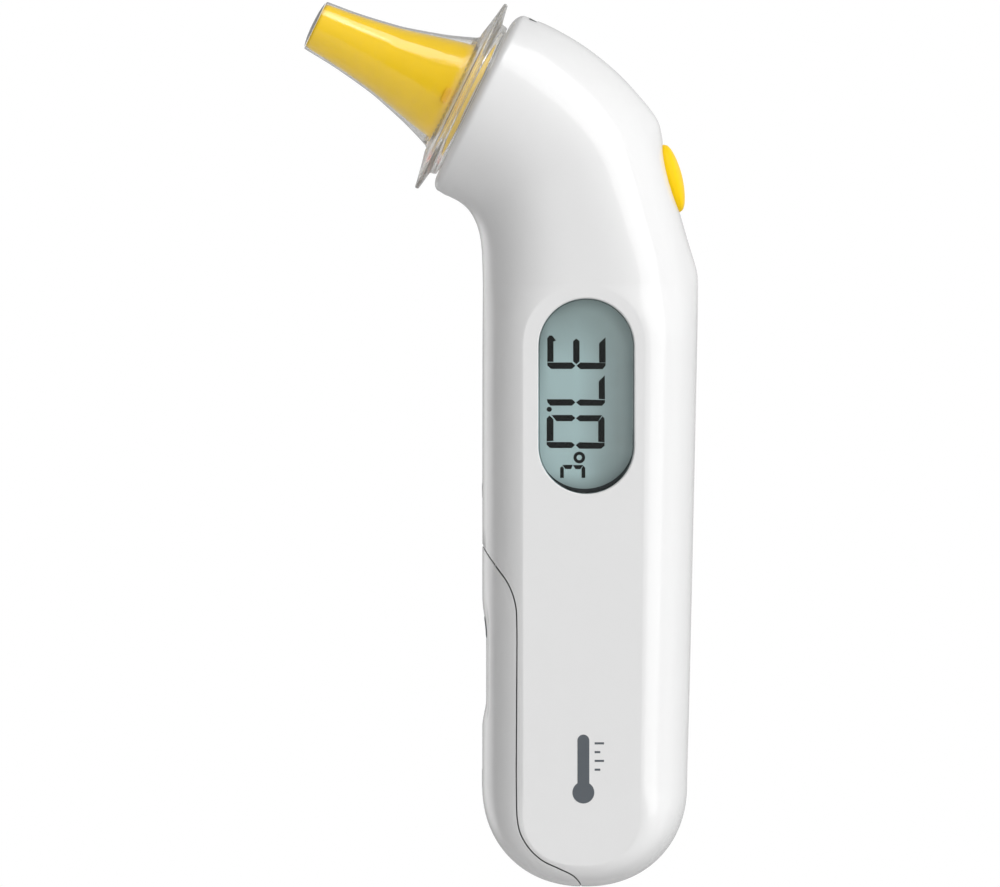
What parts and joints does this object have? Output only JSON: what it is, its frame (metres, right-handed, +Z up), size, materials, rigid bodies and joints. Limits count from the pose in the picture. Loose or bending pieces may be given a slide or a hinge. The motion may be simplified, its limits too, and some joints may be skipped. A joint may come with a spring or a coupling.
{
  "type": "ear thermometer",
  "caption": "Hook-shaped hand-held digital ear thermometer with a conical probe under a clear lens filter, a start button, a pill-shaped display and a sliding battery door.",
  "frame": {"origin": "middle of the flat back pad, the face the thermometer is laid down on", "axes": "+Z up along the handle, -Y towards the display side, +X towards the side with the start button; the probe points to -X and up"},
  "size_m": [0.0631, 0.0328, 0.1415],
  "materials": {
    "shell_white": "smooth glossy ABS",
    "door_white": "smooth glossy ABS",
    "button_yellow": "satin elastomer",
    "cone_yellow": "smooth gloss",
    "clear_filter": "clear polypropylene",
    "clear_film": "clear film",
    "window_clear": "clear acrylic",
    "lcd_glass": "reflective liquid crystal cell",
    "detector_orange": "moulded",
    "board_green": "solder mask on glass fibre board",
    "black_plastic": "moulded",
    "grey_plastic": "moulded",
    "plated_steel": "nickel plated",
    "gold_plate": "gold plated bore",
    "zinc": "cast",
    "dark_rubber": "soft",
    "amber_flex": "polyimide",
    "cell_jacket": "printed jacket over a steel can",
    "wire_red": "insulated wire"
  },
  "bodies": {
    "housing": {"front_housing": "shell_white", "rear_housing": "shell_white", "probe_cone": "cone_yellow", "display_window": "window_clear", "lcd_panel": "lcd_glass", "lcd_frame": "black_plastic", "zebra_connector": "dark_rubber", "main_board": "board_green", "microcontroller": "black_plastic", "amplifier_ic": "black_plastic", "memory_ic": "black_plastic", "crystal_can": "plated_steel", "buzzer": "black_plastic", "switch_board": "board_green", "tact_switch_body": "grey_plastic", "probe_seal_ring": "dark_rubber", "waveguide_tube": "gold_plate", "sensor_heat_block": "zinc", "sensor_can": "plated_steel", "sensor_ir_window": "grey_plastic", "sensor_clamp_ring": "black_plastic", "sensor_flex_cable": "amber_flex", "filter_detector_spring": "plated_steel", "filter_detector_switch": "black_plastic", "battery_tray": "grey_plastic", "battery_cell_front": "cell_jacket", "battery_cell_rear": "cell_jacket", "battery_spring_lower": "plated_steel", "battery_spring_upper": "plated_steel", "battery_bridge_contact": "plated_steel", "battery_contact_positive": "plated_steel", "battery_contact_negative": "plated_steel", "battery_wire_red": "wire_red", "battery_wire_black": "dark_rubber", "housing_screw_1": "plated_steel", "housing_screw_2": "plated_steel", "board_screw_1": "plated_steel", "board_screw_2": "plated_steel", "board_screw_3": "plated_steel"},
    "start_button": {"start_button": "button_yellow"},
    "tact_plunger": {"tact_switch_plunger": "black_plastic"},
    "filter_detector": {"filter_detector_pin": "detector_orange"},
    "lens_filter": {"lens_filter": "clear_filter", "lens_filter_film": "clear_film"},
    "battery_door": {"battery_door": "door_white"}
  },
  "joints": [
    {"name": "start_button_press", "type": "slide", "parent": "housing", "child": "start_button", "axis": [-0.9718, 0, -0.236], "range_m": [0, 0.0006], "stiffness_N_per_m": 400, "springref_m": -0.001},
    {"name": "tact_plunger_press", "type": "slide", "parent": "housing", "child": "tact_plunger", "axis": [-0.9718, 0, -0.236], "range_m": [0, 0.0006]},
    {"name": "filter_detector_press", "type": "slide", "parent": "housing", "child": "filter_detector", "axis": [0.8988, 0, -0.4384], "range_m": [0, 0.0006], "stiffness_N_per_m": 150, "springref_m": -0.001, "deforming": ["filter_detector_spring"]},
    {"name": "lens_filter_removal", "type": "slide", "parent": "housing", "child": "lens_filter", "axis": [-0.8988, 0, 0.4384], "range_m": [0, 0.035]},
    {"name": "battery_door_slide", "type": "slide", "parent": "housing", "child": "battery_door", "axis": [0, 0, -1], "range_m": [0, 0.062]}
  ],
  "couplings": [
    {"joint": "tact_plunger_press", "follows": "start_button_press", "ratio": 1}
  ]
}
